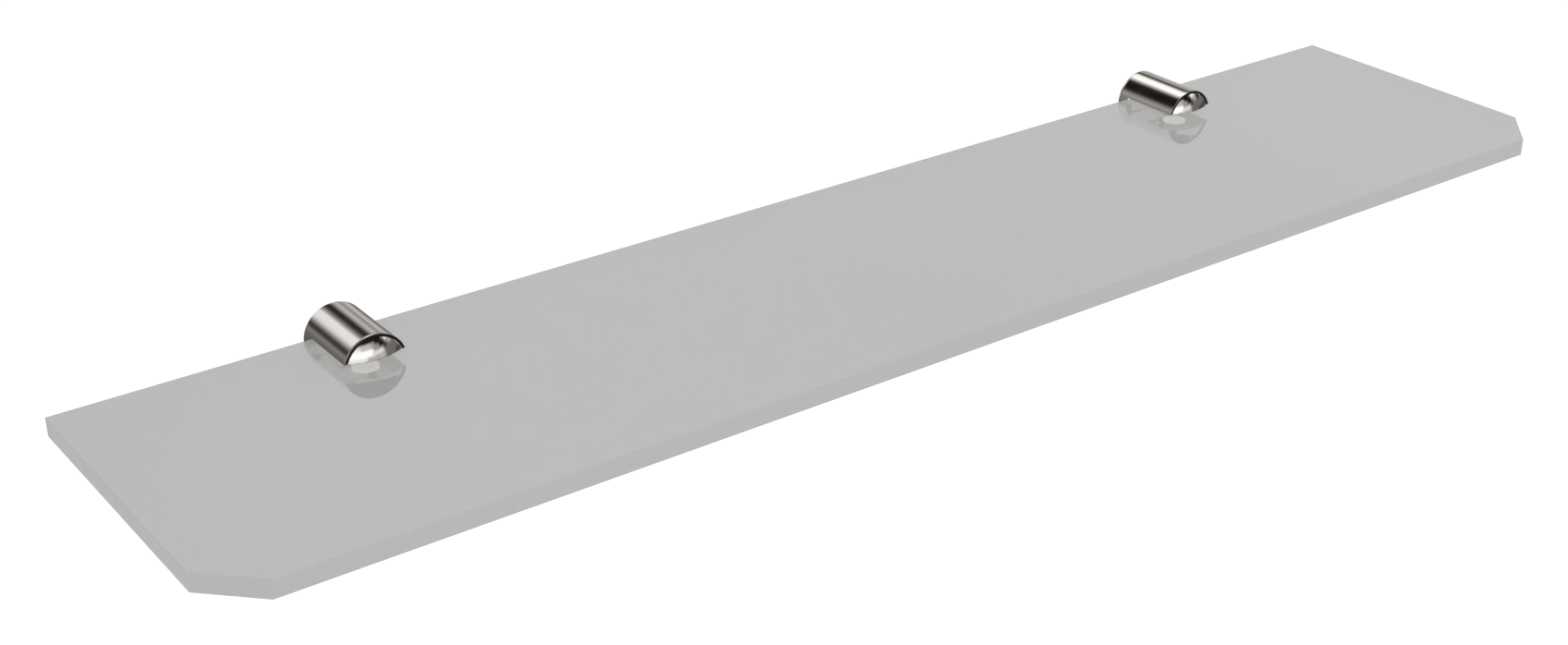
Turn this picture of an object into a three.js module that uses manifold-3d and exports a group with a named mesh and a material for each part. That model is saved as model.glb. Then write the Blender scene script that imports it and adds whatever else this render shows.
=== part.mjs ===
// Glass wall shelf held by two round clamp brackets.
//
// Millimetres. The origin lies on the wall plane, midway between the brackets, at the height of
// their axes. +X runs along the shelf, +Y goes into the wall and +Z is up, so the whole shelf
// has y below zero. The lathe's own axis is Y, which is also the axis of each bracket.

import * as THREE from 'three';
import { mergeVertices } from 'three/addons/utils/BufferGeometryUtils.js';
import Module from 'manifold-3d';

const wasm = await Module();
wasm.setup();

// Driving dimensions

const GLASS_WIDTH = 500;
const GLASS_DEPTH = 110;
const GLASS_THICKNESS = 6;
const GLASS_CORNER_CUT = 15;
const GLASS_ARRIS = 0.3;
const GLASS_WALL_GAP = 5;

const BRACKET_PITCH = 324;
const BODY_LENGTH = 26;
const DOME_RISE = 2.4;
const SLEEVE_RADIUS = 10;
const SLEEVE_WALL = 0.9;
const SLEEVE_FRONT_ROUND = 0.15;
const SLEEVE_BACK_ROUND = 0.3;
const SLEEVE_FIT_GAP = 0.1;
const SLOT_CLEARANCE = 0.05;

const BOSS_RADIUS = 6;
const BOSS_THICKNESS = 3.4;
const BOSS_FIT_GAP = 0.2;
const BOSS_GROOVE_DEPTH = 0.8;
const WALL_SCREW_HOLE_RADIUS = 2.25;
const WALL_SCREW_HEAD_RADIUS = 4.3;

const BODY_SCREW_RADIUS = 1.42;
const BODY_SCREW_HOLE_RADIUS = 1.6;
const BODY_SCREW_FROM_WALL = 2.2;
const BODY_SCREW_RECESS = 0.3;
const BODY_SCREW_TIP_RADIUS = 0.3;
const BODY_SCREW_TIP_GAP = 0.15;
const BODY_SCREW_KEY = 1.5;

const CLAMP_SCREW_RADIUS = 2.4;
const CLAMP_SCREW_HOLE_RADIUS = 2.55;
const CLAMP_FROM_WALL = 19;
const CLAMP_SCREW_RECESS = 0.85;
const CLAMP_SCREW_POINT_RADIUS = 1.2;
const CLAMP_SCREW_KEY = 2.5;
const CLAMP_TRAVEL = 0.8;

const PAD_RADIUS = 4;
const PAD_THICKNESS = 1.4;
const PAD_SOCKET_RADIUS = 1.35;
const PAD_SOCKET_DEPTH = 0.6;
const PAD_GAP = 0.3;
const LINER_RADIUS = 4;
const LINER_THICKNESS = 0.8;
const BUFFER_WIDTH = 14;
const BUFFER_HEIGHT = 5;
const BUFFER_THICKNESS = 0.5;

const SMALL_GAP = 0.1;
const REACH = 30;
const BODY_SIDES = 48;
const BORE_SIDES = 32;
const SCREW_SIDES = 24;
const DOME_STEPS = 7;
const ROUND_STEPS = 3;

// Sizes that follow from them

const HALF_GLASS = GLASS_THICKNESS / 2;
const HALF_SLOT = HALF_GLASS + SLOT_CLEARANCE;
const SLOT_END = -(GLASS_WALL_GAP - BUFFER_THICKNESS);
const BLOCK_RADIUS = SLEEVE_RADIUS - SLEEVE_WALL - SLEEVE_FIT_GAP;
const BOSS_SOCKET_RADIUS = BOSS_RADIUS + BOSS_FIT_GAP;
const BOSS_SOCKET_DEPTH = BOSS_THICKNESS + BOSS_FIT_GAP;
const GROOVE_FLOOR_RADIUS = BOSS_RADIUS - BOSS_GROOVE_DEPTH;

// Finishes

const chrome = () => new THREE.MeshStandardMaterial({ color: 0xd9d7d2, metalness: 1, roughness: 0.08 });
const steel = () => new THREE.MeshStandardMaterial({ color: 0xa8a8a6, metalness: 1, roughness: 0.35 });
const zinc = () => new THREE.MeshStandardMaterial({ color: 0xb4b6b8, metalness: 1, roughness: 0.5 });
const nylon = () => new THREE.MeshStandardMaterial({ color: 0xe6e4d6, metalness: 0, roughness: 0.6 });
const softPlastic = () => new THREE.MeshStandardMaterial({ color: 0xd8dad8, metalness: 0, roughness: 0.7 });
const glass = () => new THREE.MeshStandardMaterial({
  color: 0xc4c7c6, metalness: 0, roughness: 0.15, transparent: true, opacity: 0.6,
});

// Closed geometry, with one shared vertex at each corner and no triangle squeezed flat.
function closed(geometry) {
  geometry.deleteAttribute('normal');
  geometry.deleteAttribute('uv');
  const merged = mergeVertices(geometry);
  const corners = merged.index.array;
  const kept = [];
  for (let i = 0; i < corners.length; i += 3) {
    const [a, b, c] = [corners[i], corners[i + 1], corners[i + 2]];
    if (a !== b && b !== c && c !== a) kept.push(a, b, c);
  }
  merged.setIndex(kept);
  return merged;
}

function toSolid(geometry) {
  const vertProperties = new Float32Array(geometry.attributes.position.array);
  const triVerts = new Uint32Array(geometry.index.array);
  return new wasm.Manifold(new wasm.Mesh({ numProp: 3, vertProperties, triVerts }));
}

function toGeometry(solid) {
  const mesh = solid.getMesh();
  const geometry = new THREE.BufferGeometry();
  geometry.setAttribute('position', new THREE.BufferAttribute(mesh.vertProperties, 3));
  geometry.setIndex(new THREE.BufferAttribute(mesh.triVerts, 1));
  return geometry;
}

// What is left of a geometry once each cutter has been taken from it.
function cut(geometry, cutters) {
  const solid = cutters.reduce((rest, cutter) => rest.subtract(toSolid(cutter)), toSolid(geometry));
  return toGeometry(solid);
}

// Solid of revolution about Y. The outline is [radius, y] pairs, anticlockwise with y upwards.
function turned(outline, sides) {
  const points = outline.map(([radius, y]) => new THREE.Vector2(radius, y));
  return closed(new THREE.LatheGeometry(points, sides));
}

// The same about a vertical line at fromWall. The outline is [radius, z] pairs.
function turnedUpright(outline, sides, fromWall) {
  return turned(outline, sides).rotateX(Math.PI / 2).translate(0, -fromWall, 0);
}

function uprightBore(radius, low, high, fromWall) {
  const outline = [[0, low], [radius, low], [radius, high], [0, high]];
  return turnedUpright(outline, BORE_SIDES, fromWall);
}

// Quarter round from one end angle to the other, in degrees, as [radius, y] pairs.
function quarterRound(centreRadius, centreY, round, from, to) {
  return Array.from({ length: ROUND_STEPS + 1 }, (_, step) => {
    const angle = THREE.MathUtils.degToRad(from + (to - from) * step / ROUND_STEPS);
    return [centreRadius + round * Math.cos(angle), centreY + round * Math.sin(angle)];
  });
}

// Hexagon for a key, at the lower end of an upright screw, as deep as it is wide across flats.
function keySocket(acrossFlats, low, fromWall) {
  const depth = acrossFlats;
  const radius = acrossFlats / 2 / Math.cos(Math.PI / 6);
  const hexagon = new THREE.CylinderGeometry(radius, radius, depth + REACH, 6);
  hexagon.rotateX(Math.PI / 2).translate(0, -fromWall, low + (depth - REACH) / 2);
  return closed(hexagon);
}

// Slot that the glass slides into, open to the front and to both sides.
function glassSlot() {
  const length = REACH + SLOT_END;
  const slot = new THREE.BoxGeometry(2 * REACH, length, 2 * HALF_SLOT);
  return closed(slot.translate(0, SLOT_END - length / 2, 0));
}

// Plate with its two front corners cut at 45 degrees and an arris ground on every edge.
function glassPlate() {
  const back = -GLASS_WALL_GAP;
  const front = back - GLASS_DEPTH;
  const side = GLASS_WIDTH / 2;
  const outline = new THREE.Shape([
    new THREE.Vector2(side, back),
    new THREE.Vector2(-side, back),
    new THREE.Vector2(-side, front + GLASS_CORNER_CUT),
    new THREE.Vector2(-side + GLASS_CORNER_CUT, front),
    new THREE.Vector2(side - GLASS_CORNER_CUT, front),
    new THREE.Vector2(side, front + GLASS_CORNER_CUT),
  ]);
  const plate = new THREE.ExtrudeGeometry(outline, {
    depth: GLASS_THICKNESS - 2 * GLASS_ARRIS,
    bevelThickness: GLASS_ARRIS,
    bevelSize: GLASS_ARRIS,
    bevelOffset: -GLASS_ARRIS,
    bevelSegments: 1,
  });
  return closed(plate.translate(0, 0, GLASS_ARRIS - HALF_GLASS));
}

// Polished tube. Its slot leaves a closed ring at the wall, and two holes below pass the keys.
function sleeve() {
  const inner = SLEEVE_RADIUS - SLEEVE_WALL;
  const frontRound = SLEEVE_RADIUS - SLEEVE_FRONT_ROUND;
  const backRound = SLEEVE_RADIUS - SLEEVE_BACK_ROUND;
  const tube = turned([
    [inner, -BODY_LENGTH],
    ...quarterRound(frontRound, SLEEVE_FRONT_ROUND - BODY_LENGTH, SLEEVE_FRONT_ROUND, -90, 0),
    ...quarterRound(backRound, -SLEEVE_BACK_ROUND, SLEEVE_BACK_ROUND, 0, 90),
    [inner, 0],
    [inner, -BODY_LENGTH],
  ], BODY_SIDES);
  const clampHole = CLAMP_SCREW_HOLE_RADIUS + SMALL_GAP;
  const bodyHole = BODY_SCREW_HOLE_RADIUS + SMALL_GAP;
  return cut(tube, [
    glassSlot(),
    uprightBore(clampHole, -REACH, -HALF_SLOT, CLAMP_FROM_WALL),
    uprightBore(bodyHole, -REACH, -HALF_SLOT, BODY_SCREW_FROM_WALL),
  ]);
}

// Turned block with a domed front. The slot parts it into an upper and a lower jaw, and the
// socket in its back drops over the boss on the wall.
function jawBlock() {
  const sphere = (BLOCK_RADIUS ** 2 + DOME_RISE ** 2) / (2 * DOME_RISE);
  const centre = sphere - DOME_RISE - BODY_LENGTH;
  const halfAngle = Math.asin(BLOCK_RADIUS / sphere);
  const dome = Array.from({ length: DOME_STEPS }, (_, step) => {
    const angle = halfAngle * step / DOME_STEPS;
    return [sphere * Math.sin(angle), centre - sphere * Math.cos(angle)];
  });
  const block = turned([
    ...dome,
    [BLOCK_RADIUS, -BODY_LENGTH],
    [BLOCK_RADIUS, 0],
    [BOSS_SOCKET_RADIUS, 0],
    [BOSS_SOCKET_RADIUS, -BOSS_SOCKET_DEPTH],
    [0, -BOSS_SOCKET_DEPTH],
  ], BODY_SIDES);
  const padBore = PAD_RADIUS + PAD_GAP;
  const padBoreFloor = -HALF_GLASS - PAD_THICKNESS - CLAMP_TRAVEL - SMALL_GAP;
  const linerBore = LINER_RADIUS + SMALL_GAP;
  const linerBoreRoof = HALF_GLASS + LINER_THICKNESS + SMALL_GAP;
  return cut(block, [
    glassSlot(),
    uprightBore(padBore, padBoreFloor, 0, CLAMP_FROM_WALL),
    uprightBore(linerBore, 0, linerBoreRoof, CLAMP_FROM_WALL),
    uprightBore(CLAMP_SCREW_HOLE_RADIUS, -REACH, 0, CLAMP_FROM_WALL),
    uprightBore(BODY_SCREW_HOLE_RADIUS, -REACH, -GROOVE_FLOOR_RADIUS, BODY_SCREW_FROM_WALL),
  ]);
}

// Boss for one countersunk wall screw, with a V groove round it for the body's set screw.
function wallBoss() {
  const groove = -BODY_SCREW_FROM_WALL;
  const sinkDepth = WALL_SCREW_HEAD_RADIUS - WALL_SCREW_HOLE_RADIUS;
  return turned([
    [WALL_SCREW_HEAD_RADIUS, -BOSS_THICKNESS],
    [BOSS_RADIUS, -BOSS_THICKNESS],
    [BOSS_RADIUS, groove - BOSS_GROOVE_DEPTH],
    [GROOVE_FLOOR_RADIUS, groove],
    [BOSS_RADIUS, groove + BOSS_GROOVE_DEPTH],
    [BOSS_RADIUS, 0],
    [WALL_SCREW_HOLE_RADIUS, 0],
    [WALL_SCREW_HOLE_RADIUS, sinkDepth - BOSS_THICKNESS],
    [WALL_SCREW_HEAD_RADIUS, -BOSS_THICKNESS],
  ], BODY_SIDES);
}

// Cone point set screw, whose tip sits in the boss's groove.
function bodySetScrew() {
  const low = BODY_SCREW_RECESS - SLEEVE_RADIUS;
  const tip = -GROOVE_FLOOR_RADIUS - BODY_SCREW_TIP_RADIUS - BODY_SCREW_TIP_GAP;
  const coneLength = BODY_SCREW_RADIUS - BODY_SCREW_TIP_RADIUS;
  const screw = turnedUpright([
    [0, low],
    [BODY_SCREW_RADIUS, low],
    [BODY_SCREW_RADIUS, tip - coneLength],
    [BODY_SCREW_TIP_RADIUS, tip],
    [0, tip],
  ], SCREW_SIDES, BODY_SCREW_FROM_WALL);
  return cut(screw, [keySocket(BODY_SCREW_KEY, low, BODY_SCREW_FROM_WALL)]);
}

// Clamp screw, with a dog point that turns in the pad's socket.
function clampScrew() {
  const low = CLAMP_SCREW_RECESS - SLEEVE_RADIUS;
  const padBottom = -HALF_GLASS - PAD_THICKNESS;
  const shoulder = padBottom - SMALL_GAP;
  const point = padBottom + PAD_SOCKET_DEPTH - SMALL_GAP;
  const screw = turnedUpright([
    [0, low],
    [CLAMP_SCREW_RADIUS, low],
    [CLAMP_SCREW_RADIUS, shoulder],
    [CLAMP_SCREW_POINT_RADIUS, shoulder],
    [CLAMP_SCREW_POINT_RADIUS, point],
    [0, point],
  ], SCREW_SIDES, CLAMP_FROM_WALL);
  return cut(screw, [keySocket(CLAMP_SCREW_KEY, low, CLAMP_FROM_WALL)]);
}

// Disc that presses on the underside of the glass.
function pressurePad() {
  const low = -HALF_GLASS - PAD_THICKNESS;
  return turnedUpright([
    [PAD_SOCKET_RADIUS, low],
    [PAD_RADIUS, low],
    [PAD_RADIUS, -HALF_GLASS],
    [0, -HALF_GLASS],
    [0, low + PAD_SOCKET_DEPTH],
    [PAD_SOCKET_RADIUS, low + PAD_SOCKET_DEPTH],
    [PAD_SOCKET_RADIUS, low],
  ], BORE_SIDES, CLAMP_FROM_WALL);
}

// Soft disc between the top of the glass and the upper jaw.
function upperLiner() {
  return uprightBore(LINER_RADIUS, HALF_GLASS, HALF_GLASS + LINER_THICKNESS, CLAMP_FROM_WALL);
}

// Soft strip at the closed end of the slot, which the back edge of the glass meets.
function backBuffer() {
  const strip = new THREE.BoxGeometry(BUFFER_WIDTH, BUFFER_THICKNESS, BUFFER_HEIGHT);
  return closed(strip.translate(0, SLOT_END - BUFFER_THICKNESS / 2, 0));
}

const BRACKET_PIECES = {
  sleeve: [sleeve, chrome],
  jaw_block: [jawBlock, chrome],
  wall_boss: [wallBoss, zinc],
  body_set_screw: [bodySetScrew, steel],
  clamp_screw: [clampScrew, steel],
  pressure_pad: [pressurePad, nylon],
  upper_liner: [upperLiner, softPlastic],
  back_buffer: [backBuffer, softPlastic],
};

function namedMesh(name, geometry, material) {
  const mesh = new THREE.Mesh(geometry, material);
  mesh.name = name;
  return mesh;
}

function bracket(side) {
  const pieces = new THREE.Group();
  for (const [name, [shape, finish]] of Object.entries(BRACKET_PIECES)) {
    pieces.add(namedMesh(`${side}_${name}`, shape(), finish()));
  }
  return pieces;
}

const shelf = new THREE.Group();
shelf.add(namedMesh('glass_shelf', glassPlate(), glass()));
for (const [side, sign] of [['left', -1], ['right', 1]]) {
  const placed = bracket(side);
  placed.position.x = sign * BRACKET_PITCH / 2;
  shelf.add(placed);
}

export default shelf;
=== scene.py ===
# %% [markdown]
# # A glass wall shelf on two round clamp brackets
#
# The real shelf is a satin glass plate whose back part sits in two short chromed brackets. Each
# bracket is a polished tube round a turned block with a domed front. A slot is milled through
# both, so the block becomes an upper and a lower jaw. A screw in the lower jaw lifts a nylon pad
# against the glass, and a second screw locks the bracket on a boss that stays on the wall.
#
# The plain model of the shelf is loaded first. It says where every part is and how it moves, so
# each fine piece below takes its place and its main sizes from it.

import math

import bmesh
import bpy
from mathutils import Matrix, Vector


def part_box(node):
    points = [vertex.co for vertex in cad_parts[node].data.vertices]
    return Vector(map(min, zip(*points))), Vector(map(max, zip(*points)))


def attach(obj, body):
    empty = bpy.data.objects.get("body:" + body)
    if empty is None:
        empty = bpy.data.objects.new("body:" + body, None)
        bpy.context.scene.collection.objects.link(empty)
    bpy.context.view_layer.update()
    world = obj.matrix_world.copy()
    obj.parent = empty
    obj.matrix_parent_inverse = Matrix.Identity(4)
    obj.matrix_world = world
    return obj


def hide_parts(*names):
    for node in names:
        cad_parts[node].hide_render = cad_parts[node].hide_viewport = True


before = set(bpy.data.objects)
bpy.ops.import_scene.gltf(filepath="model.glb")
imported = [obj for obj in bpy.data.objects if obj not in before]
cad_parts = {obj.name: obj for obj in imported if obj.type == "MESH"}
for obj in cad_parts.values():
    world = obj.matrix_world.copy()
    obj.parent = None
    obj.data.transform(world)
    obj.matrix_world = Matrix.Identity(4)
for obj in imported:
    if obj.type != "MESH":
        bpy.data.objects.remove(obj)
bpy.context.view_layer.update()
scene = bpy.context.scene
print("nodes in the plain model:", len(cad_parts))

# %% [markdown]
# ## Units and measured sizes
#
# Blender works in metres, and this object in millimetres, so one constant turns one into the
# other. Sizes that the plain model already has are measured from its boxes. That keeps the fine
# pieces right if the model is ever changed.

# %% Measure the plain parts
MM = 0.001
SIDES = ("left", "right")


def measured(node):
    """Lowest and highest corner of a part, in millimetres."""
    low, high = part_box(node)
    return low / MM, high / MM


sleeve_low, sleeve_high = measured("left_sleeve")
glass_low, glass_high = measured("glass_shelf")
pad_low, pad_high = measured("left_pressure_pad")
liner_low, liner_high = measured("left_upper_liner")
buffer_low, buffer_high = measured("left_back_buffer")
boss_low, boss_high = measured("left_wall_boss")
clamp_low, clamp_high = measured("left_clamp_screw")
lock_low, lock_high = measured("left_body_set_screw")

HALF_PITCH = -(sleeve_low.x + sleeve_high.x) / 2
BODY_LENGTH = -sleeve_low.y
SLEEVE_RADIUS = sleeve_high.z
BLOCK_RADIUS = measured("left_jaw_block")[1].z
CLAMP_FROM_WALL = -(clamp_low.y + clamp_high.y) / 2
LOCK_FROM_WALL = -(lock_low.y + lock_high.y) / 2
CLAMP_RADIUS = clamp_high.x + HALF_PITCH
LOCK_RADIUS = lock_high.x + HALF_PITCH
print("bracket axes at x = ±%.1f mm, tube radius %.1f mm" % (HALF_PITCH, SLEEVE_RADIUS))
print("clamp screw %.1f mm and lock screw %.1f mm from the wall" % (CLAMP_FROM_WALL, LOCK_FROM_WALL))

# %% [markdown]
# ## Camera
#
# The camera comes early, because every picture needs it. It stands in front of the shelf,
# to the left and above, and looks at a point just left of the middle of the glass. A very small
# roll levels the picture. A lens a little longer than normal keeps the far end of the
# plate from shrinking too much.

# %% Set up the camera
CAMERA_PLACE = Vector((-0.405, -0.554, 0.298))
CAMERA_TARGET = Vector((-0.0525, -0.0725, 0.0))
CAMERA_ROLL = math.radians(-0.12)
LENS_MM = 52.0

camera = bpy.data.objects.new("camera", bpy.data.cameras.new("camera"))
scene.collection.objects.link(camera)
aim = (CAMERA_TARGET - CAMERA_PLACE).to_track_quat("-Z", "Y")
camera.location = CAMERA_PLACE
camera.rotation_euler = (aim.to_matrix() @ Matrix.Rotation(CAMERA_ROLL, 3, "Z")).to_euler()
camera.data.lens = LENS_MM
camera.data.clip_start = 0.01
scene.camera = camera
print("camera to target: %.0f mm" % ((CAMERA_TARGET - CAMERA_PLACE).length / MM))

# %% [markdown]
# ## One way to write node trees
#
# A node tree built in code is hard to read when each node takes four lines. A small class wraps
# an output socket instead, and overloads the arithmetic signs, so that a formula in the code
# looks like the formula on paper. One method makes any other node: first its settings, then the
# values or links of its inputs. The same class serves materials, the studio and Geometry Nodes.

# %% The class that wraps a socket
class Wire:
    """An output socket of a node tree. Sums written with it add Math nodes to the tree."""

    def __init__(self, tree, socket=None):
        self.tree = tree
        self.socket = socket

    def node(self, kind, settings=None, inputs=None, output=0):
        """Adds a node, and returns one of its outputs."""
        node = self.tree.nodes.new(kind)
        for name, value in (settings or {}).items():
            if name == "stops":
                self.set_stops(node.color_ramp, value)
            else:
                setattr(node, name, value)
        for name, value in (inputs or {}).items():
            several = value if isinstance(value, list) else [value]
            for one in several:
                self.connect(one, node.inputs[name])
        return Wire(self.tree, node.outputs[output])

    def set_stops(self, ramp, stops):
        """Grey levels along a ramp, as position and level."""
        while len(ramp.elements) < len(stops):
            ramp.elements.new(1)
        for element, (position, level) in zip(ramp.elements, stops):
            element.position = position
            element.color = (level, level, level, 1)

    def connect(self, value, target):
        if isinstance(value, Wire):
            self.tree.links.new(value.socket, target)
        else:
            target.default_value = value

    def math(self, operation, *values, clamp=False):
        settings = {"operation": operation, "use_clamp": clamp}
        return self.node("ShaderNodeMath", settings, dict(enumerate(values)))

    def vector(self, operation, *values):
        return self.node("ShaderNodeVectorMath", {"operation": operation}, dict(enumerate(values)))

    def xyz(self, x, y, z):
        return self.node("ShaderNodeCombineXYZ", {}, {"X": x, "Y": y, "Z": z})

    def part(self, axis):
        return self.node("ShaderNodeSeparateXYZ", {}, {"Vector": self}, output=axis)

    def between(self, first, second):
        """The colour that lies between two colours, by this factor."""
        colours = {"Factor": self, 6: first, 7: second}
        return self.node("ShaderNodeMix", {"data_type": "RGBA"}, colours, output=2)

    def __add__(self, other):
        return self.math("ADD", self, other)

    def __radd__(self, other):
        return self.math("ADD", other, self)

    def __sub__(self, other):
        return self.math("SUBTRACT", self, other)

    def __rsub__(self, other):
        return self.math("SUBTRACT", other, self)

    def __mul__(self, other):
        return self.math("MULTIPLY", self, other)

    def __rmul__(self, other):
        return self.math("MULTIPLY", other, self)

    def __truediv__(self, other):
        return self.math("DIVIDE", self, other)

    def __rtruediv__(self, other):
        return self.math("DIVIDE", other, self)


print("Wire overloads + - * / for sockets and numbers")

# %% [markdown]
# ## The studio
#
# Chrome has no colour of its own: it shows the room. So the room decides how the brackets look.
# The shelf stands in an all-white studio, whose soft boxes, black flags and table are out of view
# and only seen in the metal. Real panels could be placed round the object, but the world's shader
# can hold them too, as brightness by direction. Only glossy rays see them: everything else sees
# plain white.
#
# A straight round tube shows one point of view a ring of the room: whatever is seen in it lies on
# one cone about the tube's axis. So the wall side of the studio is described in the same way, by
# the turn about the Y axis. Each bracket has its own cone, a narrow one for the left bracket and
# a wide one for the right, and a gradient says what stands round each.

# %% Gradients round the wall side of the studio
# What stands there: turn about Y in degrees, from +X towards +Z, and brightness.
NARROW_CONE = {
    "pale floor": [(-112, 0.60), (-50, 0.72)],
    "dark curtain, low right": [(-29, 0.13), (-19, 0.14)],
    "light strip, right": [(1, 0.43), (11, 0.57), (21, 0.27)],
    "grey screen, right": [(31, 0.33), (41, 0.54), (51, 0.33)],
    "black flag, high right": [(61, 0.04), (71, 0.005), (81, 0.08)],
    "soft box, high": [(91, 0.33), (101, 0.85), (121, 0.83), (131, 0.65), (141, 0.26)],
    "black flag, left": [(151, 0.035), (161, 0.045)],
    "grey wall, left": [(171, 0.21), (191, 0.12), (232, 0.08)],
}
WIDE_CONE = {
    "white floor": [(-138, 0.95), (-60, 1.0)],
    "grey screen, right": [(-35, 0.46), (-2, 0.50), (8, 0.50), (18, 0.33), (28, 0.40)],
    "thin flag, right": [(37, 0.04), (46, 0.12)],
    "soft box, high right": [(58, 0.98), (68, 1.2), (78, 1.15), (88, 0.50)],
    "big black flag": [(98, 0.04), (108, 0.0), (128, 0.0), (138, 0.02)],
    "grey wall, left": [(148, 0.19), (158, 0.34), (168, 0.22), (190, 0.18), (205, 0.10)],
}
NARROW_EDGE = 38
WIDE_EDGE = 47
FULL_TURN = 360
print("gradient stops:", sum(len(row) for cone in (NARROW_CONE, WIDE_CONE) for row in cone.values()))

# %% Build the wall side of the studio
world = bpy.data.worlds.new("studio")
world.use_nodes = True
scene.world = world
studio = Wire(world.node_tree)
direction = studio.node("ShaderNodeTexCoord", output=0)
east, wall_side, up = direction.part(0), direction.part(1), direction.part(2)
turn = studio.math("ARCTAN2", up, east) / math.tau
off_axis = studio.math("DEGREES", studio.math("ARCCOSINE", wall_side))


def ring(gradient):
    """Brightness round one cone. The ramp starts at a turn of nought and is closed on itself."""
    rows = [stop for row in gradient.values() for stop in row]
    stops = sorted(((angle % FULL_TURN) / FULL_TURN, level) for angle, level in rows)
    around = studio.math("FRACT", turn + 1)
    gap = 1 + stops[0][0] - stops[-1][0]
    seam = stops[-1][1] + (stops[0][1] - stops[-1][1]) * (1 - stops[-1][0]) / gap
    closed = [(0, seam), *stops, (1, seam)]
    return studio.node("ShaderNodeValToRGB", {"stops": closed}, {"Fac": around})


def rising(value, low, high):
    """0 below low, 1 above high, smooth between."""
    settings = {"interpolation_type": "SMOOTHSTEP"}
    return studio.node("ShaderNodeMapRange", settings, {"Value": value, "From Min": low, "From Max": high})


narrow = ring(NARROW_CONE).part(0)
wide = ring(WIDE_CONE).part(0)
back_room = narrow + rising(off_axis, NARROW_EDGE, WIDE_EDGE) * (wide - narrow)
print("world nodes so far:", len(world.node_tree.nodes))

# %% [markdown]
# The front of the studio is what the domes show. It has no such rule, so it is set out like a
# lighting plan: panels at an azimuth and an elevation, each with a soft edge. Azimuth runs from
# the wall side towards +X, so 180 degrees is straight in front of the shelf. Later panels cover
# earlier ones.

# %% Panels in front of the shelf
# Azimuth, elevation, half width, half height and soft edge, all in degrees, and brightness.
PANELS = {
    "floor": (0, -66, 181, 22, 14, 0.80),
    "roof light": (0, 84, 181, 22, 14, 0.95),
    "far side": (245, 0, 34, 40, 12, 0.40),
    "grey screen": (180, -8, 38, 14, 8, 0.48),
    "pale screen, left": (203, -5, 26, 8, 8, 0.86),
    "right half": (108, -6, 33, 18, 8, 0.15),
    "right half, low": (98, -9, 22, 3.5, 5, 0.06),
    "upper screen": (187, 18, 22, 7, 12, 0.56),
    "upper screen, left": (199, 14, 12, 5, 8, 0.92),
    "main light": (189, 6, 25, 6, 7, 1.25),
    "main light, right end": (156, 3.5, 11, 3.5, 6, 0.80),
    "flag above": (173, 31, 42, 8, 4, 0.0),
    "flag beside": (150, 22, 8, 5, 6, 0.0),
    "flag beside, middle": (144, 15, 6.5, 5, 6, 0.0),
    "flag beside, low": (139, 9, 3, 4, 5, 0.02),
    "strip": (130, 21, 6, 5, 5, 1.0),
    "strip, low": (127, 12, 4, 4, 5, 0.42),
    "dark corner": (115, 12, 4, 6, 5, 0.0),
    "table, far": (160, -25, 37, 8, 6, 0.01),
    "table, near": (155, -54, 85, 26, 8, 0.01),
    "white card, low": (146, -41, 24, 6, 4, 0.95),
    "white card, low middle": (108, -38, 18, 7, 4, 0.95),
    "white card, low right": (76, -31, 18, 7, 4, 0.95),
}
print("panels in the studio:", len(PANELS))

# %% Build the front of the studio
SIDE_ROOM = 0.32
SIDE_STARTS = 60
SIDE_FULL = 85

azimuth = studio.math("DEGREES", studio.math("ARCTAN2", east, wall_side))
elevation = studio.math("DEGREES", studio.math("ARCSINE", up))


def patch(middle_azimuth, middle_elevation, half_width, half_height, soft):
    """1 inside a patch of the studio, 0 outside it, with a soft edge between."""
    turned = studio.math("WRAP", azimuth - middle_azimuth, -180, 180)
    across = rising(studio.math("ABSOLUTE", turned), half_width + soft / 2, half_width - soft / 2)
    tall = studio.math("ABSOLUTE", elevation - middle_elevation)
    return across * rising(tall, half_height + soft / 2, half_height - soft / 2)


brightness = back_room + rising(off_axis, SIDE_STARTS, SIDE_FULL) * (SIDE_ROOM - back_room)
for *place, level in PANELS.values():
    brightness = brightness + patch(*place) * (level - brightness)
print("world nodes with the panels:", len(world.node_tree.nodes))

# %% [markdown]
# The Light Path node tells glossy rays from the rest. The background is then white for the
# camera and for soft light, and has the gradients and panels for reflections. Their light is a
# little warm, and so is the haze that fills even the black flags.

# %% Join the panels to the background
WHITE = (1.0, 1.0, 1.0)
LIGHT_TINT = (1.03, 1.0, 0.97)
HAZE = (0.009, 0.0055, 0.0025)

glossy = studio.node("ShaderNodeLightPath", output=3)
light = studio.vector("MULTIPLY", studio.xyz(brightness, brightness, brightness), LIGHT_TINT)
room = studio.vector("ADD", light, HAZE)
sky = glossy.between((*WHITE, 1), room)
studio.connect(sky, world.node_tree.nodes["Background"].inputs["Color"])
scene.view_settings.view_transform = "Standard"
print("world nodes:", len(world.node_tree.nodes))

# %% [markdown]
# ## Floor and soft light
#
# The shelf hangs on a wall, so the floor is far below it. It is pale and plain, and hidden from
# glossy rays, which see the studio's own floor patch. One large soft light, above and to the
# right, makes the plate a little lighter at its right end than at its left.

# %% Floor
FLOOR_BELOW = 2.2
FLOOR_SIZE = 60.0
FLOOR_WHITE = (0.97, 0.97, 0.97, 1)
FLOOR_GLOW = 0.1

half_floor = FLOOR_SIZE / 2
signs = [(-1, -1), (1, -1), (1, 1), (-1, 1)]
corners = [(x * half_floor, y * half_floor, -FLOOR_BELOW) for x, y in signs]
floor_mesh = bpy.data.meshes.new("floor")
floor_mesh.from_pydata(corners, [], [(0, 1, 2, 3)])
floor = bpy.data.objects.new("floor", floor_mesh)
scene.collection.objects.link(floor)
floor.visible_glossy = False

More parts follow.
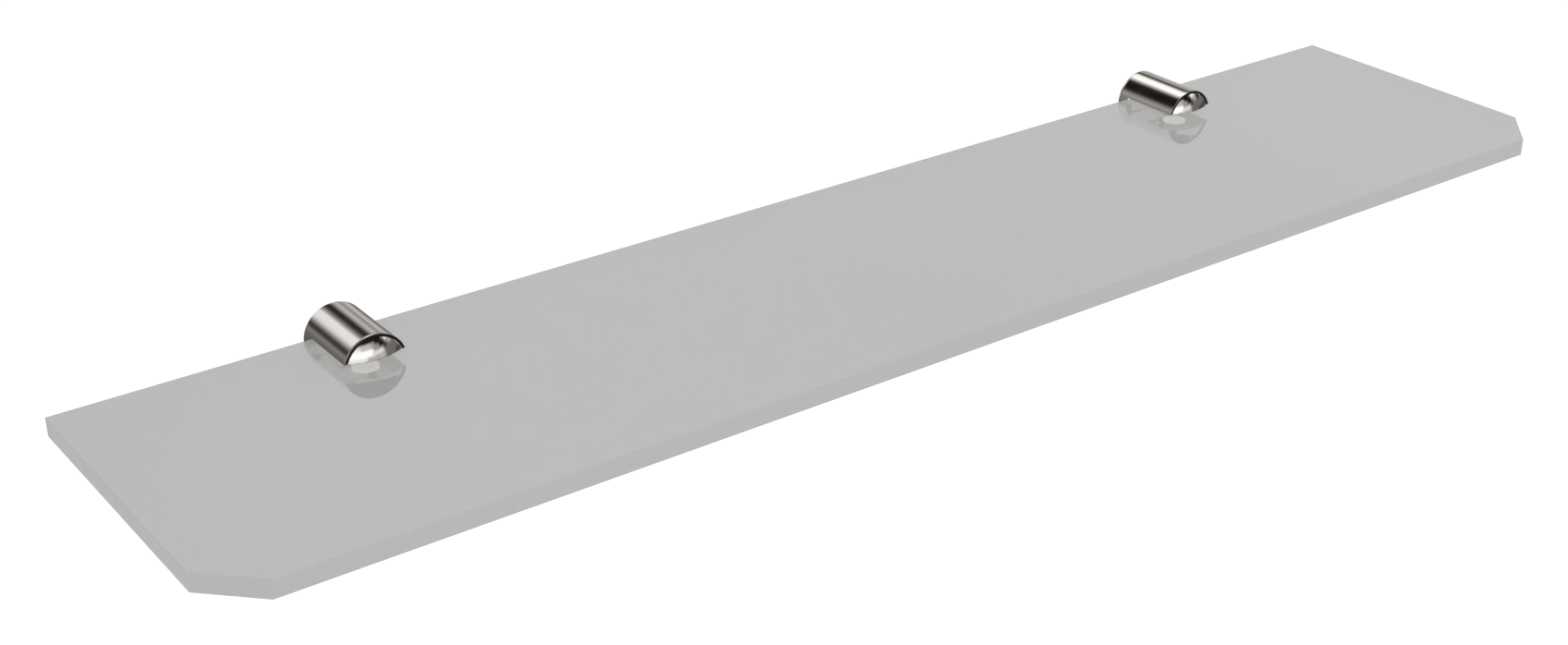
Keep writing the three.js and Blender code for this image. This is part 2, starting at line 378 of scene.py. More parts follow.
floor_paint = bpy.data.materials.new("floor_paint")
floor_paint.use_nodes = True
floor_shader = floor_paint.node_tree.nodes["Principled BSDF"]
floor_shader.inputs["Base Color"].default_value = FLOOR_WHITE
floor_shader.inputs["Roughness"].default_value = 0.9
floor_shader.inputs["Specular IOR Level"].default_value = 0.0
floor_shader.inputs["Emission Color"].default_value = FLOOR_WHITE
floor_shader.inputs["Emission Strength"].default_value = FLOOR_GLOW
floor_mesh.materials.append(floor_paint)
print("floor %.1f m below the shelf" % FLOOR_BELOW)

# %% Soft light
KEY_PLACE = (1.1, -0.4, 0.9)
KEY_SIZE = 1.0
KEY_WATTS = 24

key = bpy.data.lights.new("key_light", "AREA")
key.shape = "SQUARE"
key.size = KEY_SIZE
key.energy = KEY_WATTS
key_lamp = bpy.data.objects.new("key_light", key)
scene.collection.objects.link(key_lamp)
key_lamp.location = KEY_PLACE
key_lamp.rotation_euler = (-Vector(KEY_PLACE)).to_track_quat("-Z", "Y").to_euler()
key_lamp.visible_glossy = False
key_lamp.visible_camera = False
print("key light: %d W, %.1f m across" % (KEY_WATTS, KEY_SIZE))

# %% [markdown]
# ## Finishes
#
# Each finish is one Principled shader. What is the same all over is set on its own sockets. What
# varies is a formula of the Object coordinates, so it stays with the piece when the piece moves.

# %% A helper for finishes
def new_finish(name, constants):
    """A material, the start of its node tree and its shader."""
    material = bpy.data.materials.new(name)
    material.use_nodes = True
    shader = material.node_tree.nodes["Principled BSDF"]
    for socket, value in constants.items():
        shader.inputs[socket].default_value = value
    return material, Wire(material.node_tree), shader


def place_of(wire):
    return wire.node("ShaderNodeTexCoord", output=3)


def noise(wire, vector, scale, detail=2.0, roughness=0.5):
    """A noise value about 0.5, of so many grains in a metre."""
    inputs = {"Vector": vector, "Scale": scale, "Detail": detail, "Roughness": roughness}
    return wire.node("ShaderNodeTexNoise", {"noise_dimensions": "3D"}, inputs, output=0)


def bump(wire, height, strength, distance):
    return wire.node("ShaderNodeBump", {}, {"Height": height, "Strength": strength, "Distance": distance})


print("finishes are made with new_finish, place_of, noise and bump")

# %% [markdown]
# ### Polished chrome
#
# The tube and the jaws are brass, turned, buffed and plated. Plating follows every hairline that
# the buffing wheel left, and the wheel runs round the part, so the lines are rings about the
# bracket's axis. A noise squeezed along the axis gives them: many grains along Y, few round it.
# A second, slow noise is the faint haze of handling, which only dulls the gloss a little. Both
# brackets share one material, because rings about Y look the same wherever the axis lies.

# %% Chrome
RING_SQUEEZE = (0.03, 1.0, 0.03)
RING_GRAINS = 5200
HAZE_GRAINS = 160
BUFFED_ROUGHNESS = 0.06
CLEAN_CHROME = (0.90, 0.89, 0.87, 1)
HAZED_CHROME = (0.84, 0.83, 0.81, 1)

chrome, wire, shader = new_finish("polished_chrome", {"Metallic": 1.0, "Specular IOR Level": 0.5})
place = place_of(wire)
squeezed = wire.vector("MULTIPLY", place, RING_SQUEEZE)
rings = noise(wire, squeezed, RING_GRAINS, detail=3)
haze = noise(wire, place, HAZE_GRAINS, detail=3, roughness=0.6)
dullness = BUFFED_ROUGHNESS + 0.03 * rings + 0.06 * wire.math("POWER", haze, 3)
wire.connect(dullness, shader.inputs["Roughness"])
wire.connect(haze.between(CLEAN_CHROME, HAZED_CHROME), shader.inputs["Base Color"])
wire.connect(bump(wire, rings, 0.02, 0.0001), shader.inputs["Normal"])
print("chrome nodes:", len(chrome.node_tree.nodes))

# %% [markdown]
# ### Die-cast zinc
#
# The boss is cast and never seen once the bracket is on, so it is left as it comes out of the
# die: dull grey, with a fine grain and cloudy patches where the metal froze last.

# %% Zinc
CAST_GRAINS = 4200
CLOUD_GRAINS = 380
DARK_ZINC = (0.52, 0.53, 0.55, 1)
LIGHT_ZINC = (0.68, 0.69, 0.71, 1)

zinc, wire, shader = new_finish("cast_zinc", {"Metallic": 1.0})
place = place_of(wire)
grain = noise(wire, place, CAST_GRAINS, detail=4, roughness=0.65)
clouds = noise(wire, place, CLOUD_GRAINS, detail=3)
wire.connect(clouds.between(DARK_ZINC, LIGHT_ZINC), shader.inputs["Base Color"])
wire.connect(0.38 + 0.22 * grain, shader.inputs["Roughness"])
wire.connect(bump(wire, grain, 0.35, 0.00005), shader.inputs["Normal"])
print("zinc nodes:", len(zinc.node_tree.nodes))

# %% [markdown]
# ### Stainless screws
#
# Thread rolling burnishes the crests. The colour is painted dark towards the screw's axis: painted
# shade in the thread's roots and in the key socket, and the narrow point comes out dark too. A
# screw here stands upright, so the distance from its own axis tells crest from root. Both screws'
# axes lie at the same |x|, and each screw's own distance from the wall tells the two kinds apart,
# so the finish is made once for each kind of screw.

# %% Screw steel
PAINTED_ROOT_SHADE = (0.30, 0.29, 0.28, 1)
CREST_COLOUR = (0.66, 0.65, 0.63, 1)
WORN_COLOUR = (0.52, 0.51, 0.50, 1)
ROOT_REACH = 0.8
MARK_SQUEEZE = (0.1, 0.1, 1.0)
MARK_GRAINS = 6000
WEAR_GRAINS = 900


def screw_steel(name, from_wall, radius):
    steel, wire, shader = new_finish(name, {"Metallic": 1.0})
    place = place_of(wire)
    across = wire.math("ABSOLUTE", place.part(0)) - HALF_PITCH * MM
    along = place.part(1) + from_wall * MM
    from_axis = wire.math("SQRT", across * across + along * along)
    above_root = (from_axis / (radius * MM) - ROOT_REACH) / (1 - ROOT_REACH)
    crest = wire.math("MULTIPLY", above_root, 1, clamp=True)
    marks = noise(wire, wire.vector("MULTIPLY", place, MARK_SQUEEZE), MARK_GRAINS, detail=3)
    wear = noise(wire, place, WEAR_GRAINS, detail=3)
    # painted shade: dark below the crests, in the thread's roots, the key socket and the point
    colour = crest.between(PAINTED_ROOT_SHADE, CREST_COLOUR)
    wire.connect(wear.between(colour, WORN_COLOUR), shader.inputs["Base Color"])
    wire.connect(0.42 - 0.16 * crest + 0.14 * marks, shader.inputs["Roughness"])
    wire.connect(bump(wire, marks, 0.15, 0.00003), shader.inputs["Normal"])
    return steel


clamp_steel = screw_steel("clamp_screw_steel", CLAMP_FROM_WALL, CLAMP_RADIUS)
lock_steel = screw_steel("lock_screw_steel", LOCK_FROM_WALL, LOCK_RADIUS)
print("steel nodes:", len(clamp_steel.node_tree.nodes))

# %% [markdown]
# ### Nylon and soft plastic
#
# The pad is natural nylon: ivory, waxy, a little see-through, with fine mould texture. The liner
# and the buffer are soft clear vinyl that looks milky in such thin pieces. All of them sit in the
# slot, where light reaches them through the plate and runs inside them. The veil that stands for
# the glass lets too little of it in, so their colour is also put in as emission: a painted glow
# that lights them though they are no lamp.

# %% Plastics
MOTTLE_GRAINS = 700
MOULD_GRAINS = 9000
# painted glow: emission strengths that make the pad and the vinyl bright under the glass
NYLON_PAINTED_GLOW = 1.35
VINYL_PAINTED_GLOW = 0.6


def plastic(name, light, dark, roughness, painted_glow):
    material, wire, shader = new_finish(name, {"Emission Strength": painted_glow})
    place = place_of(wire)
    mottle = noise(wire, place, MOTTLE_GRAINS, detail=3)
    mould = noise(wire, place, MOULD_GRAINS, detail=2)
    colour = mottle.between(light, dark)
    wire.connect(colour, shader.inputs["Base Color"])
    # the colour is also painted on as emission, a painted glow that stands in for light
    wire.connect(colour, shader.inputs["Emission Color"])
    wire.connect(roughness + 0.15 * mottle, shader.inputs["Roughness"])
    wire.connect(bump(wire, mould, 0.2, 0.00003), shader.inputs["Normal"])
    return material


nylon = plastic("natural_nylon", (0.90, 0.89, 0.80, 1), (0.86, 0.85, 0.76, 1), 0.42, NYLON_PAINTED_GLOW)
vinyl = plastic("milky_vinyl", (0.84, 0.84, 0.82, 1), (0.74, 0.74, 0.72, 1), 0.5, VINYL_PAINTED_GLOW)
print("plastics:", nylon.name, vinyl.name)

# %% [markdown]
# ### Satin glass
#
# The plate's faces are etched to an even satin grey, and what lies below shows only faintly. The
# edges are ground flat and a little duller. True refraction would need a lot of samples and is
# lost when the model leaves Blender, so the plate is a thin grey veil instead: each face lets
# part of the light straight through by its Alpha, and is grey for the rest. Where a bracket
# shades the veil it would go dark, so a faint painted glow, emission that stands in for light
# carried along inside the plate, keeps it bright, and the ground edges get a brighter painted
# glow. A face turned sideways belongs to the ground edge, so the normal's Z tells the two apart.

# %% Glass
GLASS_ALPHA = 0.62
# painted glow: emission that keeps the plate bright where a bracket shades it
GLASS_PAINTED_GLOW = 0.233
ETCH_GRAINS = 3500
GRIND_GRAINS = 2600
GRIND_STRETCH = (1.0, 1.0, 6.0)
CLOUD_PATCHES = 14
FACE_PAINTED_GLOW = (0.855, 0.855, 0.85, 1)
EDGE_PAINTED_GLOW = (1, 1, 0.995, 1)
EDGE_STARTS = 0.6
EDGE_GAIN = 4

glass_constants = {"IOR": 1.5, "Alpha": GLASS_ALPHA, "Emission Strength": GLASS_PAINTED_GLOW}
glass, wire, shader = new_finish("satin_glass", glass_constants)
place = place_of(wire)
facing = wire.node("ShaderNodeNewGeometry", output=1)
sideways = EDGE_STARTS - wire.math("ABSOLUTE", facing.part(2))
edge = wire.math("MULTIPLY", sideways, EDGE_GAIN, clamp=True)
etch = noise(wire, place, ETCH_GRAINS, detail=3, roughness=0.6)
cloud = noise(wire, place, CLOUD_PATCHES, detail=2)
grind = noise(wire, wire.vector("MULTIPLY", place, GRIND_STRETCH), GRIND_GRAINS, detail=3)
face_grey = cloud.between((0.135, 0.136, 0.1355, 1), (0.145, 0.146, 0.1455, 1))
edge_grey = grind.between((0.11, 0.111, 0.1105, 1), (0.13, 0.131, 0.1305, 1))
# painted glow, brighter on the sideways ground edges than on the faces
painted_glow = edge.between(FACE_PAINTED_GLOW, EDGE_PAINTED_GLOW)
wire.connect(edge.between(face_grey, edge_grey), shader.inputs["Base Color"])
wire.connect(painted_glow, shader.inputs["Emission Color"])
wire.connect(0.34 + 0.08 * etch + 0.2 * edge, shader.inputs["Roughness"])
texture = etch + edge * (grind - etch)
wire.connect(bump(wire, texture, 0.02, 0.00002), shader.inputs["Normal"])
print("glass lets %.0f%% straight through its two faces" % (100 * (1 - GLASS_ALPHA) ** 2))

# %% [markdown]
# ## Making a finished piece
#
# Every piece ends the same way: it becomes an object at the origin with its place in its mesh,
# rides on a body of the plain model, hides the plain part that it replaces, and gets its finish.
# A piece for a bracket is made once, centred on the bracket's axis, and copied to both sides.

# %% Helpers that finish a piece
SHARP_ANGLE = math.radians(33)
SHORTEST_EDGE = 2e-6


def smooth_by_angle(mesh):
    """Removes edges of no length, then smooths all but the real corners."""
    shape = bmesh.new()
    shape.from_mesh(mesh)
    bmesh.ops.dissolve_degenerate(shape, edges=shape.edges, dist=SHORTEST_EDGE)
    for face in shape.faces:
        face.smooth = True
    for line in shape.edges:
        line.smooth = len(line.link_faces) == 2 and line.calc_face_angle() < SHARP_ANGLE
    shape.to_mesh(mesh)
    shape.free()


def with_modifiers(mesh, *settings):
    """The mesh that a row of modifiers gives. Each is a type and its settings."""
    holder = bpy.data.objects.new("holder", mesh)
    scene.collection.objects.link(holder)
    for kind, values in settings:
        modifier = holder.modifiers.new(kind, kind)
        for name, value in values.items():
            setattr(modifier, name, value)
    shown = holder.evaluated_get(bpy.context.evaluated_depsgraph_get())
    made = bpy.data.meshes.new_from_object(shown)
    bpy.data.objects.remove(holder)
    return made


def piece(name, mesh, body, node, finish):
    mesh.materials.clear()
    mesh.materials.append(finish)
    made = bpy.data.objects.new(name, mesh)
    scene.collection.objects.link(made)
    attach(made, body)
    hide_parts(node)
    print("%-24s %6d faces" % (name, len(mesh.polygons)))
    return made


def on_both_sides(name, mesh, body, node, finish):
    """Copies of a bracket's piece. A body or node that starts with _ gets the side's name."""
    for side, sign in zip(SIDES, (-1, 1)):
        copy = mesh.copy()
        copy.transform(Matrix.Translation((sign * HALF_PITCH * MM, 0, 0)))
        rider = side + body if body.startswith("_") else body
        piece(f"{side}_{name}", copy, rider, side + node, finish)


print("corners sharper than %.0f degrees stay sharp" % math.degrees(SHARP_ANGLE))

# %% [markdown]
# ## The glass plate
#
# The plate is cut from sheet, its two front corners are clipped at 45 degrees, and then every
# edge gets an arris: a narrow ground chamfer that takes the sharpness off. An outline of six
# points, raised to the sheet's thickness, has that shape, and a Bevel modifier grinds the arris.

# %% Glass plate
CORNER_CUT = 15.0
ARRIS = 0.3

left, right = glass_low.x, glass_high.x
front, back = glass_low.y, glass_high.y
outline = [
    (right, back), (left, back), (left, front + CORNER_CUT),
    (left + CORNER_CUT, front), (right - CORNER_CUT, front), (right, front + CORNER_CUT),
]
shape = bmesh.new()
bottom = shape.faces.new([shape.verts.new((x * MM, y * MM, glass_low.z * MM)) for x, y in outline])
raised = bmesh.ops.extrude_face_region(shape, geom=[bottom])["geom"]
top = [corner for corner in raised if isinstance(corner, bmesh.types.BMVert)]
bmesh.ops.translate(shape, verts=top, vec=(0, 0, (glass_high.z - glass_low.z) * MM))
bmesh.ops.recalc_face_normals(shape, faces=shape.faces)
plate = bpy.data.meshes.new("glass_plate")
shape.to_mesh(plate)
shape.free()
plate = with_modifiers(plate, ("BEVEL", {"width": ARRIS * MM, "segments": 2, "limit_method": "ANGLE"}))
smooth_by_angle(plate)
plate = with_modifiers(plate, ("WEIGHTED_NORMAL", {"keep_sharp": True}))
glass_plate = piece("glass_plate", plate, "shelf", "glass_shelf", glass)
glass_plate.visible_glossy = False

# %% [markdown]
# ## Turning on the lathe
#
# Tube, block, boss, pad and liner are all turned, so one function turns an outline about an
# axis. The outline is a list of radius and height. Blender could spin it with a Screw modifier,
# but bmesh.ops.spin gives the mesh at once, ready to be milled. Doubles on the axis are merged
# before the normals are recalculated, because a spun shape can come out inside out.

# %% The lathe
TURNED_SIDES = 160
MERGE = 1e-7


def arc(centre_radius, centre_height, radius, start, end, steps):
    """Points of an arc as radius and height, with its angles in degrees."""
    angles = [math.radians(start + (end - start) * step / steps) for step in range(steps + 1)]
    return [(centre_radius + radius * math.cos(a), centre_height + radius * math.sin(a)) for a in angles]


def turned(outline, axis, closed=False, sides=TURNED_SIDES):
    """Mesh of an outline turned about the Y or the Z axis."""
    shape = bmesh.new()
    up = Vector((0, 1, 0)) if axis == "Y" else Vector((0, 0, 1))
    points = [shape.verts.new((Vector((radius, 0, 0)) + up * height) * MM) for radius, height in outline]
    lines = [shape.edges.new(pair) for pair in zip(points, points[1:])]
    if closed:
        lines.append(shape.edges.new((points[-1], points[0])))
    spin = {"cent": (0, 0, 0), "axis": up, "angle": math.tau, "steps": sides, "use_merge": True}
    bmesh.ops.spin(shape, geom=points + lines, **spin)
    bmesh.ops.remove_doubles(shape, verts=shape.verts, dist=MERGE)
    bmesh.ops.recalc_face_normals(shape, faces=shape.faces)
    mesh = bpy.data.meshes.new("turned")
    shape.to_mesh(mesh)
    shape.free()
    return mesh


print("turned parts have %d sides" % TURNED_SIDES)

# %% [markdown]
# ## Milling and drilling with Geometry Nodes
#
# After the lathe, the real bracket goes to a mill: one cutter opens the slot for the glass, and
# drills make the upright holes. A Geometry Nodes tree does the same with a Mesh Boolean node for
# each cutter, whose sizes are named inputs. The node also says which edges its cut made. Those
# edges are stored as bevel weights, and a Bevel modifier then breaks exactly those, as a
# deburring tool would. Where a cut passes close to a corner it leaves a chip of a face that a
# bevel trips over, so points nearer than one chip are merged first.

# %% Helpers for Geometry Nodes
def new_tree(name, inputs):
    """A geometry tree with named inputs. Returns it with its input sockets by name."""
    tree = bpy.data.node_groups.new(name, "GeometryNodeTree")
    tree.interface.new_socket("Geometry", in_out="OUTPUT", socket_type="NodeSocketGeometry")
    for socket, kind in inputs.items():
        tree.interface.new_socket(socket, in_out="INPUT", socket_type=kind)
    start = tree.nodes.new("NodeGroupInput")
    return tree, {socket: Wire(tree, start.outputs[socket]) for socket in inputs}


def end_tree(tree, geometry, material):
    """Ends a tree with real geometry in one material."""
    real = geometry.node("GeometryNodeRealizeInstances", {}, {"Geometry": geometry})
    painted = real.node("GeometryNodeSetMaterial", {}, {"Geometry": real, "Material": material})
    end = tree.nodes.new("NodeGroupOutput")
    tree.links.new(painted.socket, end.inputs["Geometry"])


def made_by(tree, mesh, values):
    """The plain mesh that a tree makes of a mesh, with its named inputs set."""
    holder = bpy.data.objects.new("holder", mesh)
    scene.collection.objects.link(holder)
    modifier = holder.modifiers.new(tree.name, "NODES")
    modifier.node_group = tree
    names = {item.name: item.identifier for item in tree.interface.items_tree if item.in_out == "INPUT"}
    for name, value in values.items():
        modifier[names[name]] = value
    shown = holder.evaluated_get(bpy.context.evaluated_depsgraph_get())
    made = bpy.data.meshes.new_from_object(shown)
    bpy.data.objects.remove(holder)
    return made


print("Geometry Nodes helpers are ready")

# %% The milling tree
DRILL_SIDES = 64
CUTTER_REACH = 40.0


def milling_tree(name, holes):
    """Cuts the glass slot and the named upright holes."""
    hole_sizes = [f"{hole} {size}" for hole in holes for size in ("Radius", "From Wall", "Low", "High")]
    inputs = {"Geometry": "NodeSocketGeometry"}
    for size in ("Slot Height", "Slot End", *hole_sizes, "Chip"):
        inputs[size] = "NodeSocketFloat"
    inputs["Material"] = "NodeSocketMaterial"
    tree, given = new_tree(name, inputs)
    blank = given["Geometry"]

    reach = CUTTER_REACH * MM
    size = blank.xyz(2 * reach, reach, given["Slot Height"])
    slot = blank.node("GeometryNodeMeshCube", {}, {"Size": size})
    middle = blank.xyz(0, given["Slot End"] - reach / 2, 0)
    cutters = [blank.node("GeometryNodeTransform", {}, {"Geometry": slot, "Translation": middle})]
    for hole in holes:
        low, high = given[f"{hole} Low"], given[f"{hole} High"]
        sizes = {"Vertices": DRILL_SIDES, "Radius": given[f"{hole} Radius"], "Depth": high - low}
        drill = blank.node("GeometryNodeMeshCylinder", {}, sizes)
        place = blank.xyz(0, 0 - given[f"{hole} From Wall"], (low + high) / 2)
        cutters.append(blank.node("GeometryNodeTransform", {}, {"Geometry": drill, "Translation": place}))

    milled = blank
    for cutter in cutters:
        settings = {"operation": "DIFFERENCE", "solver": "EXACT"}
        milled = milled.node("GeometryNodeMeshBoolean", settings, {"Mesh 1": milled, "Mesh 2": cutter})
        new_edges = Wire(tree, milled.socket.node.outputs["Intersecting Edges"])
        milled = new_edges.node(
            "GeometryNodeStoreNamedAttribute", {"data_type": "FLOAT", "domain": "EDGE"},
            {"Geometry": milled, "Selection": new_edges, "Name": "bevel_weight_edge", "Value": 1.0},
        )
    merged = milled.node("GeometryNodeMergeByDistance", {}, {"Geometry": milled, "Distance": given["Chip"]})
    end_tree(tree, merged, given["Material"])
    return tree


print("one tree mills the tube, another the block")

# %% [markdown]
# ## The tube
#
# A tube with 0.9 mm walls. Its front end is faced flat, and only a hair's breadth of its rims is
# broken, so the end shows as an even ring. A row of points close to the rim keeps the shading of
# the flat ring flat. The slot stops short of the wall, which leaves a closed ring there. Two
# small holes underneath let the keys through, and rows along the tube keep the faces between
# them short.

# %% Tube
SLOT_CLEARANCE = 0.1
SLOT_HEIGHT = glass_high.z - glass_low.z + SLOT_CLEARANCE
SLOT_END = buffer_high.y
TUBE_WALL = 0.9
MOUTH_CHAMFER = 0.04
FRONT_ROUND = 0.05
RIM_HOLD = 0.03
BACK_ROUND = 0.3
BROKEN_EDGE = 0.08
TUBE_ROWS = 20
TUBE_CHIP = 0.015
CLAMP_HOLE = CLAMP_RADIUS + 0.15
LOCK_HOLE = LOCK_RADIUS + 0.18
KEY_CLEARANCE = 0.1

inner = SLEEVE_RADIUS - TUBE_WALL
row_gap = BODY_LENGTH / TUBE_ROWS
tube_outline = [
    (inner, MOUTH_CHAMFER - BODY_LENGTH),
    (inner + MOUTH_CHAMFER, -BODY_LENGTH),
    (SLEEVE_RADIUS - FRONT_ROUND - RIM_HOLD, -BODY_LENGTH),
    *arc(SLEEVE_RADIUS - FRONT_ROUND, FRONT_ROUND - BODY_LENGTH, FRONT_ROUND, -90, 0, 4),
    *[(SLEEVE_RADIUS, row * row_gap - BODY_LENGTH) for row in range(1, TUBE_ROWS)],
    *arc(SLEEVE_RADIUS - BACK_ROUND, -BACK_ROUND, BACK_ROUND, 0, 90, 5),
    (inner, 0),
]
tube_tree = milling_tree("mill_tube", ["Clamp Hole", "Lock Hole"])


def hole(name, radius, from_wall, low, high):
    sizes = {"Radius": radius, "From Wall": from_wall, "Low": low, "High": high}
    return {f"{name} {size}": value * MM for size, value in sizes.items()}


slot_sizes = {"Slot Height": SLOT_HEIGHT * MM, "Slot End": SLOT_END * MM}
deburr = ("BEVEL", {"width": BROKEN_EDGE * MM, "segments": 3, "limit_method": "WEIGHT"})


def milled(outline, tree, closed, chip, *holes):
    """Turns an outline, mills it, breaks the cut edges and shades it."""
    sizes = dict(slot_sizes)
    for one in holes:
        sizes.update(one)
    sizes["Chip"] = chip * MM
    sizes["Material"] = chrome
    mesh = made_by(tree, turned(outline, "Y", closed), sizes)
    mesh = with_modifiers(mesh, deburr)
    smooth_by_angle(mesh)
    return with_modifiers(mesh, ("WEIGHTED_NORMAL", {"keep_sharp": True}))


tube = milled(
    tube_outline, tube_tree, True, TUBE_CHIP,
    hole("Clamp Hole", CLAMP_HOLE + KEY_CLEARANCE, CLAMP_FROM_WALL, -CUTTER_REACH, -SLOT_HEIGHT),
    hole("Lock Hole", LOCK_HOLE + KEY_CLEARANCE, LOCK_FROM_WALL, -CUTTER_REACH, -SLOT_HEIGHT),
)
on_both_sides("tube", tube, "shelf", "_sleeve", chrome)

# %% [markdown]
# ## The domed jaws
#
# The block inside the tube has a low dome in front that stands proud of the tube's mouth. The
# dome is part of a sphere, whose radius follows from the dome's rise. Besides the slot, the
# block has a bore for the pad below the glass, a shallow one for the liner above it, the clamp
# screw's hole and the lock screw's hole. Its back is bored out to drop over the boss.

# %% Jaws
DOME_RISE = 2.4
DOME_STEPS = 28
FIT_GAP = 0.1
BOSS_CLEARANCE = 0.2
PAD_CLEARANCE = 0.3
PAD_TRAVEL = 0.8
SOCKET_CHAMFER = 0.25
LOCK_HOLE_TOP = 0.9
JAW_CHIP = 0.06

sphere = (BLOCK_RADIUS ** 2 + DOME_RISE ** 2) / (2 * DOME_RISE)
dome_angle = math.degrees(math.asin(BLOCK_RADIUS / sphere))
dome_centre = sphere - DOME_RISE - BODY_LENGTH
boss_radius = boss_high.z
socket_radius = boss_radius + BOSS_CLEARANCE
socket_depth = boss_low.y - BOSS_CLEARANCE
dome = arc(0, dome_centre, sphere, -90, dome_angle - 90, DOME_STEPS)
jaw_outline = [
    (0, dome[0][1]),
    *dome[1:],
    (BLOCK_RADIUS, 0),
    (socket_radius + SOCKET_CHAMFER, 0),
    (socket_radius, -SOCKET_CHAMFER),
    (socket_radius, socket_depth),
    (0, socket_depth),
]
jaw_tree = milling_tree("mill_jaws", ["Clamp Hole", "Lock Hole", "Pad Bore", "Liner Bore"])
pad_radius = pad_high.x + HALF_PITCH
liner_radius = liner_high.x + HALF_PITCH
jaws = milled(
    jaw_outline, jaw_tree, False, JAW_CHIP,
    hole("Clamp Hole", CLAMP_HOLE, CLAMP_FROM_WALL, -CUTTER_REACH, 0),
    hole("Lock Hole", LOCK_HOLE, LOCK_FROM_WALL, -CUTTER_REACH, -boss_radius * LOCK_HOLE_TOP),
    hole("Pad Bore", pad_radius + PAD_CLEARANCE, CLAMP_FROM_WALL, pad_low.z - PAD_TRAVEL - FIT_GAP, 0),
    hole("Liner Bore", liner_radius + FIT_GAP, CLAMP_FROM_WALL, 0, liner_high.z + FIT_GAP),
)
on_both_sides("domed_jaws", jaws, "shelf", "_jaw_block", chrome)

# %% [markdown]
# ## The boss on the wall
#
# A short round boss with a countersunk hole for one wall screw, and a V groove round it that the
# lock screw's cone pulls into. Nothing is milled, so the lathe alone makes it. A cast part has
# no sharp corner anywhere, so small chamfers break its rims.

# %% Boss
GROOVE_DEPTH = 0.8
WALL_HOLE = 2.25
COUNTERSINK = 4.3
BOSS_CHAMFER = 0.2

thick = -boss_low.y
groove = -LOCK_FROM_WALL
boss_outline = [
    (COUNTERSINK, -thick),
    (boss_radius - BOSS_CHAMFER, -thick),
    (boss_radius, BOSS_CHAMFER - thick),
    (boss_radius, groove - GROOVE_DEPTH),
    (boss_radius - GROOVE_DEPTH, groove),
    (boss_radius, groove + GROOVE_DEPTH),
    (boss_radius, -BOSS_CHAMFER),
    (boss_radius - BOSS_CHAMFER, 0),
    (WALL_HOLE + BOSS_CHAMFER, 0),
    (WALL_HOLE, -BOSS_CHAMFER),
    (WALL_HOLE, COUNTERSINK - WALL_HOLE - thick),
]
boss = turned(boss_outline, "Y", closed=True)
smooth_by_angle(boss)
on_both_sides("boss", boss, "shelf", "_wall_boss", zinc)

# %% [markdown]
# ## Pad, liner and buffer
#
# The pad is a moulded disc with rounded rims and a socket below for the screw's point. The liner
# is a plain soft disc with rounded rims. The buffer is a strip with its edges taken off. Each
# keeps a hair's breadth from the glass, because two faces in one plane flicker in a render.

# %% Pad
PAD_ROUND = 0.25
PAD_SOCKET = 1.35
PAD_SOCKET_DEPTH = 0.6
TOUCH_GAP = 0.03
DISC_SIDES = 72

pad_top = pad_high.z - TOUCH_GAP
pad_outline = [
    (0, pad_low.z + PAD_SOCKET_DEPTH),
    (PAD_SOCKET, pad_low.z + PAD_SOCKET_DEPTH),
    (PAD_SOCKET, pad_low.z),
    *arc(pad_radius - PAD_ROUND, pad_low.z + PAD_ROUND, PAD_ROUND, -90, 0, 4),
    *arc(pad_radius - PAD_ROUND, pad_top - PAD_ROUND, PAD_ROUND, 0, 90, 4),
    (0, pad_top),
]
pad = turned(pad_outline, "Z", sides=DISC_SIDES)
pad.transform(Matrix.Translation((0, -CLAMP_FROM_WALL * MM, 0)))
smooth_by_angle(pad)
on_both_sides("nylon_pad", pad, "_pad", "_pressure_pad", nylon)

# %% Liner
LINER_ROUND = 0.2

liner_bottom = liner_low.z + TOUCH_GAP
liner_outline = [
    (0, liner_bottom),
    *arc(liner_radius - LINER_ROUND, liner_bottom + LINER_ROUND, LINER_ROUND, -90, 0, 4),
    *arc(liner_radius - LINER_ROUND, liner_high.z - LINER_ROUND, LINER_ROUND, 0, 90, 4),
    (0, liner_high.z),
]
liner = turned(liner_outline, "Z", sides=DISC_SIDES)
liner.transform(Matrix.Translation((0, -CLAMP_FROM_WALL * MM, 0)))
smooth_by_angle(liner)
on_both_sides("liner_disc", liner, "shelf", "_upper_liner", vinyl)

# %% Buffer
BUFFER_ROUND = 0.12

shape = bmesh.new()
bmesh.ops.create_cube(shape, size=1)
buffer_front = buffer_low.y + TOUCH_GAP
size = (buffer_high - buffer_low) * MM
size.y = (buffer_high.y - buffer_front) * MM
middle = Vector((0, (buffer_front + buffer_high.y) / 2 * MM, 0))
bmesh.ops.scale(shape, verts=shape.verts, vec=size)
bmesh.ops.translate(shape, verts=shape.verts, vec=middle)
strip = bpy.data.meshes.new("buffer_strip")
shape.to_mesh(strip)
shape.free()
strip = with_modifiers(strip, ("BEVEL", {"width": BUFFER_ROUND * MM, "segments": 3}))
smooth_by_angle(strip)
on_both_sides("buffer_strip", strip, "shelf", "_back_buffer", vinyl)

# %% [markdown]
# ## Threaded screws with Geometry Nodes
#
# A thread follows a rule, so a formula can shape it. A fine cylinder is the start. The height of
# a point in turns of the thread, less its angle in turns, says where the point lies between two
# crests, and that sets its radius. The same formula holds the chamfered end and the point. A
# six-sided prism and a flare are then cut out for the key. One tree makes both kinds of screw,
# because their sizes are its inputs. The thread is right-handed: the ridge climbs as the angle
# grows.

# %% The screw tree
THREAD_SIDES = 48
ROWS_PER_PITCH = 14
CREST_SHARE = 0.125
ROOT_SHARE = 0.25
THREAD_DEPTH_SHARE = 0.54
END_CHAMFER_SHARE = 0.75
FLARE_SHARE = 0.66


